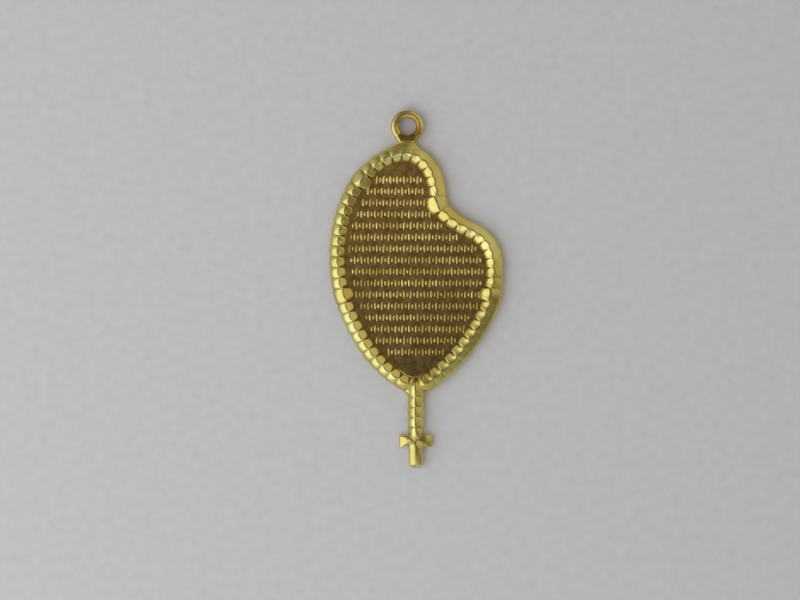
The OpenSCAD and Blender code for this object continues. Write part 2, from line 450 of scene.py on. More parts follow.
def groove_depth(tree, given, carried, aside, bulge, full):
    """How deep the groove is at a point, and how far the point belongs to the inner part."""
    inside = add(
        tree,
        "ShaderNodeMapRange",
        {"Value": aside, "From Min": 0.0, "From Max": GROOVE_START},
        interpolation_type="SMOOTHSTEP",
    )
    full_outside = add(tree, NUMBERS, (bulge, given["Fullness outside"]), operation="POWER")
    depths = []
    for name, filled in (("groove_out", full_outside), ("groove_in", full)):
        hollow = add(tree, NUMBERS, (1.0, filled), operation="SUBTRACT")
        depths.append(add(tree, NUMBERS, (carried[name], hollow), operation="MULTIPLY"))
    depth = add(tree, BLEND, {0: inside, 2: depths[0], 3: depths[1]}, data_type="FLOAT")
    return depth, inside


# %% Fall beside the ridge
# Width of the ridge's rounding, as a share of the bead's half width
RIDGE_ROUND = 0.08
# How steeply the skin still rises between the two lines
RIDGE_RISE = 0.3


def sunk_share(tree, given, level, bow, aside):
    """The share of its height that a point loses by its distance from the ridge."""
    outwards = add(tree, NUMBERS, (level, -1.0), operation="MULTIPLY")
    farther = add(tree, NUMBERS, (outwards, aside), operation="MAXIMUM")
    beside = add(tree, NUMBERS, (farther, 0.0), operation="MAXIMUM")
    within = add(tree, NUMBERS, (aside, 0.0), operation="GREATER_THAN")
    fall = add(
        tree, BLEND, {0: within, 2: given["Fall outside"], 3: given["Fall inside"]}, data_type="FLOAT"
    )
    square = add(tree, NUMBERS, (beside, beside), operation="MULTIPLY")
    rounded = add(tree, NUMBERS, (beside, RIDGE_ROUND), operation="ADD")
    bend = add(tree, NUMBERS, (square, rounded), operation="DIVIDE")
    lost = add(tree, NUMBERS, (bend, fall), operation="MULTIPLY")
    past_first = add(tree, NUMBERS, (level, 0.0), operation="MAXIMUM")
    between = add(tree, NUMBERS, (past_first, bow), operation="MINIMUM")
    rise = add(tree, NUMBERS, (between, RIDGE_RISE), operation="MULTIPLY")
    return add(tree, NUMBERS, (lost, rise), operation="SUBTRACT")


# %% [markdown]
# ## Brown in grooves and corners
# Tumbling stones can't reach into a deep groove or into the corner between a bead and the panel, so
# tarnish stays there. The brown given there is partly that tarnish and partly painted shade. It could
# be painted on, but the tree knows both places exactly. It keeps the amount of brown as an attribute,
# which the brass reads.

# %% Brown of a bead
# A groove this deep or deeper keeps all its brown
DEEP_GROOVE = 0.35
# The corner along the panel gets its brown between these heights
CORNER_TOP = 1.05
CORNER_FOOT = 0.85


def painted_shade_and_tarnish(tree, given, depth, side, place):
    """How much painted shade and tarnish a point gets, from 0 to 1."""
    share = add(tree, NUMBERS, (depth, DEEP_GROOVE * MM), operation="DIVIDE")
    share = add(tree, NUMBERS, (share, 1.0), operation="MINIMUM")
    groove = add(tree, NUMBERS, (share, 2.0), operation="POWER")
    height = add(tree, "ShaderNodeSeparateXYZ", [place]).outputs["Z"]
    low = add(
        tree,
        "ShaderNodeMapRange",
        {"Value": height, "From Min": CORNER_TOP * MM, "From Max": CORNER_FOOT * MM},
        interpolation_type="SMOOTHSTEP",
    )
    within = add(tree, NUMBERS, (side, 0.0), operation="GREATER_THAN")
    corner = add(tree, NUMBERS, (low, within), operation="MULTIPLY")
    corner = add(tree, NUMBERS, (corner, given["Corner"]), operation="MULTIPLY")
    return add(tree, NUMBERS, (groove, corner), operation="MAXIMUM")


# %% [markdown]
# ## The beads' tree
# The tree puts those steps together. The line becomes a curve whose sections stand upright, the
# circle is swept along it, and each vertex is moved to its true place: out by the bead's half width
# less the groove, in and up as its bead asks, and by a little noise, since no cast bead is perfect.
# Whatever would lie under the back is pressed flat, as the back of a casting is. Two helpers start
# and end a tree, because the grains have one too.

# %% Tree helpers
def new_tree(name, sockets):
    """An empty node tree for a modifier, with its named inputs and where they come in."""
    tree = bpy.data.node_groups.new(name, "GeometryNodeTree")
    tree.interface.new_socket("Geometry", in_out="INPUT", socket_type="NodeSocketGeometry")
    for label, kind in sockets:
        tree.interface.new_socket(label, in_out="INPUT", socket_type="NodeSocket" + kind)
    tree.interface.new_socket("Geometry", in_out="OUTPUT", socket_type="NodeSocketGeometry")
    return tree, add(tree, "NodeGroupInput").outputs


def finish_tree(tree, geometry, material):
    """Ends a tree: instances become real meshes and all of it gets its material."""
    real = add(tree, "GeometryNodeRealizeInstances", {0: geometry})
    dressed = add(tree, "GeometryNodeSetMaterial", {0: real, "Material": material})
    add(tree, "NodeGroupOutput", {0: dressed})


# %% Tree that sweeps beads
SECTION_POINTS = 48
# Width of one drift of the unevenness
DRIFT = 1.1


def bead_tree():
    sizes = (
        "Middle height", "Fullness outside", "Squareness inside", "Squareness outside",
        "Fall inside", "Fall outside", "Ridge bow", "Wobble", "Corner",
    )
    tree, given = new_tree(
        "beads_on_a_string", [(size, "Float") for size in sizes] + [("Material", "Material")]
    )
    carried = {
        name: add(tree, "GeometryNodeInputNamedAttribute", {"Name": name}, data_type="FLOAT")
        for name in ("across", *BEAD_VALUES)
    }
    middle, inward_way = [
        add(tree, "GeometryNodeInputNamedAttribute", {"Name": name}, data_type="FLOAT_VECTOR")
        for name in ("middle", "inward")
    ]

    line = add(tree, "GeometryNodeMeshToCurve", {0: given["Geometry"]})
    line = add(tree, "GeometryNodeSetCurveNormal", {0: line}, mode="Z_UP")
    ring = add(tree, "GeometryNodeCurvePrimitiveCircle", {"Resolution": SECTION_POINTS, "Radius": 1.0})
    tube = add(
        tree, "GeometryNodeCurveToMesh", {"Curve": line, "Profile Curve": ring, "Fill Caps": True}
    )
    here = add(tree, "GeometryNodeInputPosition")
    offset = add(tree, VECTORS, (here, middle), operation="SUBTRACT")
    offset, side = squared_off(tree, given, offset, inward_way)

    # Edge is 0 at the bead's middle and 1 at its grooves, and bulge and full go the other way
    edge = add(tree, NUMBERS, (carried["across"], 2.0), operation="POWER")
    bulge = add(tree, NUMBERS, (1.0, edge), operation="SUBTRACT")
    full = add(tree, NUMBERS, (bulge, carried["fullness"]), operation="POWER")

    # How far a point lies in from the ridge's first line, and from its second
    ridge = add(tree, NUMBERS, (carried["ridge"], carried["half_width"]), operation="DIVIDE")
    level = add(tree, NUMBERS, (side, ridge), operation="SUBTRACT")
    bow = add(tree, NUMBERS, (edge, given["Ridge bow"]), operation="MULTIPLY")
    aside = add(tree, NUMBERS, (level, bow), operation="SUBTRACT")
    depth, inside = groove_depth(tree, given, carried, aside, bulge, full)
    sunk = sunk_share(tree, given, level, bow, aside)
    standing = add(tree, NUMBERS, (1.0, sunk), operation="SUBTRACT")
    lowered = add(tree, "ShaderNodeCombineXYZ", (1.0, 1.0, standing))
    offset = add(tree, VECTORS, (offset, lowered), operation="MULTIPLY")

    noise = add(tree, "ShaderNodeTexNoise", {"Vector": middle, "Scale": 1 / (DRIFT * MM), "Detail": 2})
    noise = add(tree, NUMBERS, (noise, 0.5), operation="SUBTRACT")
    uneven = add(tree, NUMBERS, (noise, given["Wobble"]), operation="MULTIPLY")
    radius = add(tree, NUMBERS, (carried["half_width"], depth), operation="SUBTRACT")
    radius = add(tree, NUMBERS, (radius, uneven), operation="ADD")
    skin = add(tree, VECTORS, {0: offset, "Scale": radius}, operation="SCALE")

    height = add(
        tree, NUMBERS, (carried["lift"], full, given["Middle height"]), operation="MULTIPLY_ADD"
    )
    lifted = add(tree, "ShaderNodeCombineXYZ", (0.0, 0.0, height))
    inset = add(tree, NUMBERS, (carried["inset"], full), operation="MULTIPLY")
    shift = add(tree, NUMBERS, (carried["reach"], inside, inset), operation="MULTIPLY_ADD")
    shifted = add(tree, VECTORS, {0: inward_way, "Scale": shift}, operation="SCALE")
    place = middle
    for move in (lifted, shifted, skin):
        place = add(tree, VECTORS, (place, move), operation="ADD")
    # Nothing is lower than the back, and nothing comes near a metre to the side
    pressed = add(tree, VECTORS, (place, (-1.0, -1.0, 0.0)), operation="MAXIMUM")
    shaped = add(tree, "GeometryNodeSetPosition", {0: tube, "Position": pressed})
    # The brown in grooves and corners: partly tarnish, partly painted shade
    recess = painted_shade_and_tarnish(tree, given, depth, side, pressed)
    kept = add(
        tree,
        "GeometryNodeStoreNamedAttribute",
        {0: shaped, "Name": "recess", "Value": recess},
        data_type="FLOAT",
        domain="POINT",
    )
    finish_tree(tree, kept, given["Material"])
    return tree


beads_on_a_string = bead_tree()
print("nodes in the beads' tree:", len(beads_on_a_string.nodes))

# %% [markdown]
# ## Sweeping the border and the stem
# The same tree serves the heart's border, which is a closed line, and the stem, which is a straight
# one with ends. The points' values go in as attributes of a mesh that has only vertices and edges,
# since a mesh can carry them and a plain list of points can't. The tree works as a modifier, which
# comes off once its result is kept as a plain mesh.

# %% Mesh helpers
# Points closer than this are one, and edges that bend more than this are hard
SAME_PLACE = 0.0005 * MM
HARD_EDGE = math.radians(50)


def new_piece(name, points, edges=(), faces=()):
    """An object at the origin, from points in millimetres."""
    mesh = bpy.data.meshes.new(name)
    mesh.from_pydata([[c * MM for c in p] for p in points], list(edges), list(faces))
    piece = bpy.data.objects.new(name, mesh)
    bpy.context.scene.collection.objects.link(piece)
    return piece


def face_out(piece):
    """Merges doubles, turns every face outwards and shades the piece smooth but for hard edges."""
    bm = bmesh.new()
    bm.from_mesh(piece.data)
    bmesh.ops.remove_doubles(bm, verts=bm.verts, dist=SAME_PLACE)
    bmesh.ops.recalc_face_normals(bm, faces=bm.faces)
    loose = sum(not e.is_manifold for e in bm.edges)
    bm.to_mesh(piece.data)
    bm.free()
    piece.data.shade_smooth()
    piece.data.set_sharp_from_angle(angle=HARD_EDGE)
    piece.data.calc_loop_triangles()
    print(f"{piece.name}: {len(piece.data.loop_triangles)} triangles, {loose} open edges")
    return piece


def run_tree(piece, tree, values):
    """Runs a tree on a piece and keeps the result as the piece's own plain mesh."""
    modifier = piece.modifiers.new(tree.name, "NODES")
    modifier.node_group = tree
    for socket in tree.interface.items_tree:
        if socket.in_out == "INPUT" and socket.name in values:
            modifier[socket.identifier] = values[socket.name]
    piece.update_tag()
    bpy.context.view_layer.update()
    ready = piece.evaluated_get(bpy.context.evaluated_depsgraph_get())
    made = bpy.data.meshes.new_from_object(ready)
    piece.modifiers.clear()
    piece.data = made
    made.name = piece.name
    return piece


# %% Sweep helper
# Height of a bead's middle over the back, and how uneven its skin is
BEAD_HEIGHT = 0.6
WOBBLE = 0.05


def sweep_beads(name, line, line_across, line_inward, line_kinds, closed, section):
    """Beads along a line of points in mm; section holds the tree's inputs for their shape."""
    count = len(line)
    edges = [(k, (k + 1) % count) for k in range(count if closed else count - 1)]
    piece = new_piece(name, [(x, y, 0) for x, y in line], edges)
    carried = {key: line_kinds[:, k] * MM for key, k in COLUMN.items()}
    carried["fullness"] = line_kinds[:, COLUMN["fullness"]]
    carried["across"] = line_across
    for key, values in carried.items():
        values = np.asarray(values, np.float32)
        piece.data.attributes.new(key, "FLOAT", "POINT").data.foreach_set("value", values)
    for key, pairs in {"middle": np.asarray(line) * MM, "inward": line_inward}.items():
        values = np.column_stack([pairs, np.zeros(count)]).astype(np.float32).ravel()
        piece.data.attributes.new(key, "FLOAT_VECTOR", "POINT").data.foreach_set("vector", values)
    common = {"Middle height": BEAD_HEIGHT * MM, "Wobble": WOBBLE * MM, "Material": tumbled}
    run_tree(piece, beads_on_a_string, {**common, **section})
    return face_out(piece)


# %% Border
BORDER_SECTION = {
    "Fullness outside": 0.6,
    "Squareness inside": 4.5,
    "Squareness outside": 2.8,
    "Fall inside": 0.46,
    "Fall outside": 0.42,
    "Ridge bow": 0.3,
    "Corner": 0.8,
}
border = sweep_beads("bead_border", string, across, inward, kinds, True, BORDER_SECTION)

# %% [markdown]
# ## The stem
# Below the heart hang the join bead, where the string closes, and three small beads. Their line is
# straight, and the smooth head of the cross goes on from the last one, so the tube starts inside the
# border and ends inside the cross. These beads are round rods with shallow grooves, so the same tree
# gets a power of 2 and no bow.

# %% Stem
STEM_X = KNOTS[JOIN][0] + TO_MIDDLE[0]
# The join bead's middle is this far below the knot
JOIN_DROP = 0.1
JOIN_TOP = KNOTS[JOIN][1] - JOIN_DROP + JOIN_HALF + TO_MIDDLE[1]
# Lengths of the beads, from the join bead down
STEM_LENGTHS = (2 * JOIN_HALF, 1.2, 1.2, 1.2)
# Kinds of bead: the upper half of the join bead is a round head, and the rest have shallow grooves
JOIN_HEAD = (1.0, 0.75, 0.75, 0, 0, 0.17, 0, 0.5)
JOIN_BEAD = (1.0, 0.13, 0.04, 0, 0, 0.17, 0, 0.5)
STEM_BEAD = (0.96, 0.13, 0.04, 0, 0, 0.17, 0, 0.5)
# The tube starts just inside the head's end, where its section isn't quite a point
TUBE_START = -0.999
STEM_SECTION = {
    "Fullness outside": 0.5,
    "Squareness inside": 2.0,
    "Squareness outside": 2.0,
    "Fall inside": 0.34,
    "Fall outside": 0.16,
    "Ridge bow": 0.0,
    "Corner": 0.0,
}

line, line_across, line_kinds = [], [], []
top = JOIN_TOP
for k, length in enumerate(STEM_LENGTHS):
    steps = across_bead if k else np.concatenate([[TUBE_START], across_bead])
    line += [(STEM_X, top - length * (u + 1) / 2) for u in steps]
    line_across += list(steps)
    line_kinds += [STEM_BEAD if k else (JOIN_HEAD if u < 0 else JOIN_BEAD) for u in steps]
    top -= length
CROSS_HEAD_TOP = top
# The side with the deeper grooves is the stem's left, where the light shows them
left_way = np.tile([-1.0, 0.0], (len(line), 1))
stem = sweep_beads("stem", line, line_across, left_way, np.array(line_kinds), False, STEM_SECTION)

# %% [markdown]
# ## The panel
# The panel is a flat plate that fills the heart. A plate cut to shape would meet the beads in a sharp
# corner, but cast metal never does: a small fillet runs along the foot of the beads and catches a
# thin line of light. So the plate is built from rings that follow the string: a hidden wall under
# the beads, then the fillet's steps down to the flat, and one face inside the last ring.

# %% Panel
PANEL_TOP = 0.8
# Distance in from the string, and height
PANEL_RIM = [(0.2, 0.02), (0.2, 0.5), (0.5, 0.84), (0.75, 0.82), (0.9, PANEL_TOP), (1.1, PANEL_TOP)]

# Every second point of the string is enough for the rings
line, way_in = string[::2], inward[::2]
rings = [[(x, y, z) for x, y in line + way_in * d] for d, z in PANEL_RIM]
count = len(line)
faces = [tuple(range(count))[::-1], tuple(range((len(rings) - 1) * count, len(rings) * count))]
for r in range(len(rings) - 1):
    for k in range(count):
        after = (k + 1) % count
        faces.append((r * count + k, r * count + after, (r + 1) * count + after, (r + 1) * count + k))
panel = new_piece("panel", [p for ring in rings for p in ring], faces=faces)
panel.data.materials.append(panel_brass_painted_shade)
face_out(panel)

# %% [markdown]
# ## Rows of raised grains
# The panel carries sixteen rows of small upright grains, tall and short in turn, like ears of barley
# laid side by side. Hundreds of them could be copied with array modifiers, but an array can't leave
# out what misses the heart. The tree lays out a grid of points, shifts every second row by half a
# step, drops each point that misses the panel or comes too close to the string, and puts a grain on
# each point left, with a slight random lean and size. One grain is a low mesh of a few dozen faces.

# %% Grain
GRAIN_WIDTH = 0.28
GRAIN_HEIGHT = 0.2
GRAIN_SIDES = 10
# From the hidden foot to the shoulder: height, and share of the full width
GRAIN_LEVELS = [(-0.15, 1.0), (0.13, 0.96), (0.185, 0.66), (0.2, 0.42)]
# A power under 1 makes the grain's sides fuller than an ellipse's
GRAIN_FULL = 0.8
# The ends draw in less than the sides: this share of the length is kept at every level
LENGTH_KEPT = 0.45


def grain_mesh():
    """A seed one unit long along Y: a base, a shoulder and a ridge, in millimetres across."""
    points, faces = [], []
    for height, spread in GRAIN_LEVELS:
        for k in range(GRAIN_SIDES):
            turn = 2 * math.pi * k / GRAIN_SIDES
            side = math.copysign(abs(math.cos(turn)) ** GRAIN_FULL, math.cos(turn))
            along_y = math.sin(turn) / 2 * (LENGTH_KEPT + (1 - LENGTH_KEPT) * spread)
            points.append((side * GRAIN_WIDTH / 2 * spread, along_y, height))
    points.append((0, 0, GRAIN_HEIGHT))
    for level in range(len(GRAIN_LEVELS) - 1):
        for k in range(GRAIN_SIDES):
            a, b = level * GRAIN_SIDES + k, level * GRAIN_SIDES + (k + 1) % GRAIN_SIDES
            faces.append((a, b, b + GRAIN_SIDES, a + GRAIN_SIDES))
    last = (len(GRAIN_LEVELS) - 1) * GRAIN_SIDES
    for k in range(GRAIN_SIDES):
        faces.append((last + k, last + (k + 1) % GRAIN_SIDES, len(points) - 1))
    faces.append(tuple(range(GRAIN_SIDES))[::-1])
    return points, faces


grain_points, grain_faces = grain_mesh()
grain = new_piece("grain", grain_points, faces=grain_faces)
for polygon in grain.data.polygons:
    polygon.use_smooth = True
print("faces of one grain:", len(grain_faces))

# %% Grid of points for the grains
def grid_of_points(tree, given):
    """Rows of points down the panel, each marked with whether its grain is tall."""
    total = add(tree, NUMBERS, (given["Rows"], given["Grains in a row"]), operation="MULTIPLY")
    cloud = add(tree, "GeometryNodePoints", {"Count": total})
    # A point's number is its row times the grains in a row, plus its place in the row
    index = add(tree, "GeometryNodeInputIndex")
    row = add(tree, NUMBERS, (index, given["Grains in a row"]), operation="DIVIDE")
    row = add(tree, NUMBERS, [row], operation="FLOOR")
    before = add(tree, NUMBERS, (row, given["Grains in a row"]), operation="MULTIPLY")
    step = add(tree, NUMBERS, (index, before), operation="SUBTRACT")
    odd = add(tree, NUMBERS, (row, 2.0), operation="MODULO")
    steps = add(tree, NUMBERS, (odd, 0.5, step), operation="MULTIPLY_ADD")
    x = add(tree, NUMBERS, (steps, given["Grain pitch"], given["Left"]), operation="MULTIPLY_ADD")
    below = add(tree, NUMBERS, (row, given["Row pitch"]), operation="MULTIPLY")
    y = add(tree, NUMBERS, (given["Top"], below), operation="SUBTRACT")
    place = add(tree, "ShaderNodeCombineXYZ", (x, y, given["Base height"]))
    turn = add(tree, NUMBERS, (step, row), operation="ADD")
    turn = add(tree, NUMBERS, (turn, 2.0), operation="MODULO")
    tall = add(tree, NUMBERS, (turn, 0.0, 0.1), operation="COMPARE")
    # The mark is kept before points are dropped, because their numbers change then
    marked = add(
        tree,
        "GeometryNodeStoreNamedAttribute",
        {0: cloud, "Name": "tall", "Value": tall},
        data_type="FLOAT",
        domain="POINT",
    )
    return add(tree, "GeometryNodeSetPosition", {0: marked, "Position": place})


# %% Points that the heart keeps
# Each point is looked for from this far above it
LOOK_FROM = 5 * MM


def keep_inside(tree, given, points):
    """Drops each point that misses the panel or comes too close to the string."""
    plate = add(tree, "GeometryNodeObjectInfo", {"Object": given["Panel"]}).outputs["Geometry"]
    here = add(tree, "GeometryNodeInputPosition")
    above = add(tree, VECTORS, (here, (0, 0, LOOK_FROM)), operation="ADD")
    ray = add(
        tree,
        "GeometryNodeRaycast",
        {"Target Geometry": plate, "Source Position": above, "Ray Direction": (0, 0, -1)},
    )
    missed = add(tree, NUMBERS, (1.0, ray.outputs["Is Hit"]), operation="SUBTRACT")
    thread = add(tree, "GeometryNodeObjectInfo", {"Object": given["String"]}).outputs["Geometry"]
    near = add(tree, "GeometryNodeProximity", {0: thread}, target_element="EDGES").outputs["Distance"]
    close = add(tree, NUMBERS, (near, given["Clear of string"]), operation="LESS_THAN")
    drop = add(tree, NUMBERS, (close, missed), operation="MAXIMUM")
    return add(tree, "GeometryNodeDeleteGeometry", {0: points, "Selection": drop}, domain="POINT")


# %% Tree that plants grains
# Each grain's smallest and largest size, as shares, and how far it leans either way, in radians
SMALLEST = (0.88, 0.92, 0.85)
LARGEST = (1.12, 1.06, 1.08)
LEAN = (0.14, 0.14, 0.12)


def grain_tree():
    objects = [(name, "Object") for name in ("Panel", "String", "Grain")]
    sizes = (
        "Left", "Top", "Row pitch", "Grain pitch", "Clear of string", "Tall", "Short", "Base height"
    )
    counts = [(name, "Int") for name in ("Rows", "Grains in a row", "Seed")]
    tree, given = new_tree(
        "rows_of_grains",
        objects + [(size, "Float") for size in sizes] + counts + [("Material", "Material")],
    )
    inside = keep_inside(tree, given, grid_of_points(tree, given))
    is_tall = add(tree, "GeometryNodeInputNamedAttribute", {"Name": "tall"}, data_type="FLOAT")
    length = add(
        tree, "ShaderNodeMapRange", {"Value": is_tall, "To Min": given["Short"], "To Max": given["Tall"]}
    )
    size = add(
        tree,
        "FunctionNodeRandomValue",
        {"Min": SMALLEST, "Max": LARGEST, "Seed": given["Seed"]},
        data_type="FLOAT_VECTOR",
    )
    stretch = add(tree, "ShaderNodeCombineXYZ", (1.0, length, 1.0))
    scale = add(tree, VECTORS, (size, stretch), operation="MULTIPLY")
    lean = add(
        tree,
        "FunctionNodeRandomValue",
        {"Min": [-a for a in LEAN], "Max": LEAN, "Seed": given["Seed"]},
        data_type="FLOAT_VECTOR",
    )
    one = add(tree, "GeometryNodeObjectInfo", {"Object": given["Grain"], "As Instance": True})
    planted = add(
        tree,
        "GeometryNodeInstanceOnPoints",
        {0: inside, "Instance": one.outputs["Geometry"], "Rotation": lean, "Scale": scale},
    )
    finish_tree(tree, planted, given["Material"])
    return tree


rows_of_grains = grain_tree()
print("nodes in the grains' tree:", len(rows_of_grains.nodes))

# %% Plant the grains
# Where each row of points starts, and how high the top row is
LEFT_EDGE = -10.25
TOP_ROW = KNOTS[0][1] + TO_MIDDLE[1]
count = len(string)
string_guide = new_piece(
    "string_guide", [(x, y, PANEL_TOP) for x, y in string], [(k, (k + 1) % count) for k in range(count)]
)
relief = new_piece("grain_relief", [(0, 0, 0)])
run_tree(
    relief,
    rows_of_grains,
    {
        "Panel": panel,
        "String": string_guide,
        "Grain": grain,
        "Left": LEFT_EDGE * MM,
        "Top": TOP_ROW * MM,
        "Row pitch": 1.35 * MM,
        "Grain pitch": 0.4 * MM,
        "Rows": 16,
        "Grains in a row": 53,
        "Clear of string": 1.42 * MM,
        "Tall": 0.95,
        "Short": 0.6,
        "Base height": PANEL_TOP * MM,
        "Seed": 7,
        "Material": burnished,
    },
)
for helper in (grain, string_guide):
    bpy.data.objects.remove(helper)
face_out(relief)

# %% [markdown]
# ## Lofts for what doesn't repeat
# The loop, its neck, the cross and the web each change their section as they go. They could be cut
# from boxes and rings, but then every change would need a cut. A loft is simpler: a row of
# flat-backed sections with the same number of points, joined by faces. One helper makes a half-round
# section, and one joins any row of them.

# %% Loft helpers
def arch(width, height, edge=1.0, points=18, back=0.0):
    """Flat-backed section: places sideways and their heights. A lower edge makes it boxier."""
    turn = np.linspace(0, math.pi, points)
    side = np.sign(np.cos(turn)) * np.abs(np.cos(turn)) ** edge * width / 2
    rise = np.abs(np.sin(turn)) ** edge * height
    return [(float(s), back + float(r)) for s, r in zip(side, rise)]


def loft(name, sections, material, closed=False):
    """A piece from sections in a row, with its two ends filled, or closed into a ring."""
    count = len(sections[0])
    faces = []
    for r in range(len(sections) if closed else len(sections) - 1):
        a, b = r * count, (r + 1) % len(sections) * count
        faces += [(a + k, a + (k + 1) % count, b + (k + 1) % count, b + k) for k in range(count)]
    if not closed:
        faces += [tuple(range(count)), tuple(range((len(sections) - 1) * count, len(sections) * count))]
    piece = new_piece(name, [p for section in sections for p in section], faces=faces)
    piece.data.materials.append(material)
    return face_out(piece)


# %% [markdown]
# ## The bail loop
# The pendant hangs by this loop. A torus would be too round: on the real one a gentle funnel rises
# from the hole to a soft top line, and a broad chamfer falls away from it outside. Between the
# neck's raised edges the face is pressed down to a flat. So the loop is a ring of sections, with one
# height limit on those that cross the flat.

# %% Bail loop
BAIL_X = -1.1 + TO_MIDDLE[0]
BAIL_Y = 19.15 + TO_MIDDLE[1]
HOLE_RADIUS = 1.05
LOOP_RADIUS = 1.925
LOOP_WALL = LOOP_RADIUS - HOLE_RADIUS
# Section of the loop: how far through the wall, from the hole out, and its height
LOOP_SECTION = [
    (0, 0), (0, 0.5), (0, 0.99), (0.03, 1.02), (0.2, 1.11), (0.34, 1.183),
    (0.4, 1.197), (0.5, 1.2), (0.6, 1.19), (0.7, 1.165), (0.8, 1.125), (0.88, 1.08),
    (0.94, 1.02), (0.98, 0.93), (1, 0.6), (0.99, 0.3), (0.95, 0.1), (0.9, 0),
]
# The flat reaches this far to either side of straight down, and has a short steep wall at each end
FLAT_HEIGHT = 0.93
FLAT_TURN = math.radians(44)
WALL_TURN = 0.02
# How many sections cross the flat, and how many go round the rest
FLAT_SECTIONS = 31
HIGH_SECTIONS = 107

low_turns = np.linspace(-FLAT_TURN, FLAT_TURN, FLAT_SECTIONS)
first_high = FLAT_TURN + WALL_TURN
high_turns = np.linspace(first_high, 2 * math.pi - first_high, HIGH_SECTIONS)
sections = []
for turns, tallest in ((low_turns, FLAT_HEIGHT), (high_turns, math.inf)):
    for turn in turns - math.pi / 2:
        section = []
        for share, z in LOOP_SECTION:
            r = HOLE_RADIUS + LOOP_WALL * share
            place = (BAIL_X + r * math.cos(turn), BAIL_Y + r * math.sin(turn))
            section.append((*place, min(z, tallest)))
        sections.append(section)
loop = loft("bail_loop", sections, tumbled, closed=True)

# %% [markdown]
# ## The neck
# The neck joins the loop to the string. It is flat between raised edges, ends in a thin bar, and then
# rises to a rounded shoulder that flares into the beads, wider on the side where the string runs
# level. It could be sculpted, but then a width could only be changed by eye. A table of stations
# says all of it in numbers: each row is one section on the way down.

# %% Neck
NECK = [
    # y, reach to the left and to the right, height, how much its edges stand up, drop of its sides
    (18.0, 1.45, 1.45, 0.9, 1, 0),
    (17.8, 1.34, 1.34, 0.925, 1, 0),
    (17.6, 1.2, 1.2, 0.94, 1, 0),
    (17.44, 1.1, 1.1, 0.95, 1, 0),
    (17.39, 1.08, 1.07, 0.975, 0.6, 0),
    (17.34, 1.06, 1.05, 0.99, 0.2, 0),
    (17.29, 1.06, 1.04, 0.98, 0, 0.02),
    (17.22, 1.09, 1.04, 0.97, 0, 0.05),
    (17.1, 1.24, 1.1, 1.03, 0, 0.12),
    (16.95, 1.55, 1.24, 1.13, 0, 0.2),
    (16.8, 1.95, 1.42, 1.23, 0, 0.28),
    (16.65, 2.3, 1.6, 1.31, 0, 0.32),
    (16.45, 2.6, 1.75, 1.36, 0, 0.36),
    (16.1, 2.7, 1.8, 1.38, 0, 0.38),
]
# Half of the neck's section: place as a share of the reach, height as a share of the full one, and
# how far it stands up where the edges are raised
ACROSS_NECK = [
    (0.9, 0, 0), (0.97, 0.25, 0), (1, 0.5, 0.1), (0.99, 0.75, 0.15), (0.95, 0.9, 0.13),
    (0.88, 0.96, 0.13), (0.78, 0.99, 0.15), (0.72, 0.995, 0.15), (0.67, 1, 0), (0.4, 1, 0),
    (0.12, 1, 0),
]
sections = []
for y, to_left, to_right, height, raised, drop in NECK:
    half = [(s, height * z * (1 - drop * s * s) + up * raised) for s, z, up in ACROSS_NECK]
    section = [(to_right * s, z) for s, z in half] + [(-to_left * s, z) for s, z in half[::-1]]
    sections.append([(BAIL_X + x, y + TO_MIDDLE[1], z) for x, z in section])
neck = loft("bail_neck", sections, tumbled)

# %% [markdown]
# ## Painted shade on the loop
# The pressed flat, the funnel, most of all on its right, and the loop's top are given painted shade
# in brown. The loop and neck come from no tree that knows this, so a rule gives each vertex its
# brown, in the same attribute that the beads have.

# %% Painted shade of the loop and neck
# The flat gets this much, below this height on the loop, this far to either side, between heights
FLAT_BROWN = 0.5
FLAT_BELOW = -0.7
FLAT_REACH = 1.2
FLAT_BAND = (0.9, 0.96)
# The funnel gets this much, more for each mm to the right, and ends at this share of the wall
FUNNEL_BROWN = 0.25
BROWN_TO_RIGHT = 1.2
FUNNEL_END = 0.6
# The top gets more for each mm that it lies above this height
BROWN_TO_TOP = 0.3
TOP_START = 0.6


def on_flat(x, y, z):
    """Painted shade on the flat at a point in mm, from the middle of the loop and up from the back."""
    pressed = y < FLAT_BELOW and abs(x) < FLAT_REACH and FLAT_BAND[0] < z < FLAT_BAND[1]
    return FLAT_BROWN if pressed else 0.0


def on_loop(x, y, z):
    """Painted shade on the flat, the funnel and the loop's top at the same kind of point."""
    share = (math.hypot(x, y) - HOLE_RADIUS) / LOOP_WALL
    funnel = (FUNNEL_BROWN + BROWN_TO_RIGHT * max(0, x)) * max(0, 1 - share / FUNNEL_END)
    top = BROWN_TO_TOP * max(0, y - TOP_START)
    return max(on_flat(x, y, z), min(1, top + funnel))


# Each vertex of the loop and neck gets its painted shade
for piece, amount in ((neck, on_flat), (loop, on_loop)):
    places = [v.co / MM for v in piece.data.vertices]
    values = [amount(p.x - BAIL_X, p.y - BAIL_Y, p.z) for p in places]
    piece.data.attributes.new("recess", "FLOAT", "POINT").data.foreach_set("value", values)
    print(piece.name, "is brown up to", round(max(values), 2))

# %% [markdown]
# ## The cross
# The real cross is cut in facets, and each facet mirrors one part of the room, which is what tells
# its shape at this size. Bevelled boxes would have facets of even width. Here each station of a
# loft says where the edges of the top are, so a facet can widen along the arm.
#
# The side arms have a flat top between two sloping sides. The left one's top starts as a narrow
# strip and spreads as it sinks towards the end, and the right one's is broad all along.

# %% Side arms
# Length of the head, from the last bead down to the middle of the cross
HEAD_LENGTH = 1.5
CROSS_Y = CROSS_HEAD_TOP - HEAD_LENGTH
# The side arms sit this much off the middle of the cross
ARM_DROP = -0.07
END_STEPS = 7
# Each arm's end is rounded over this length, and loses this share of its width and height
ARM_ROUNDING = 0.3
ARM_SHRINK = 0.4
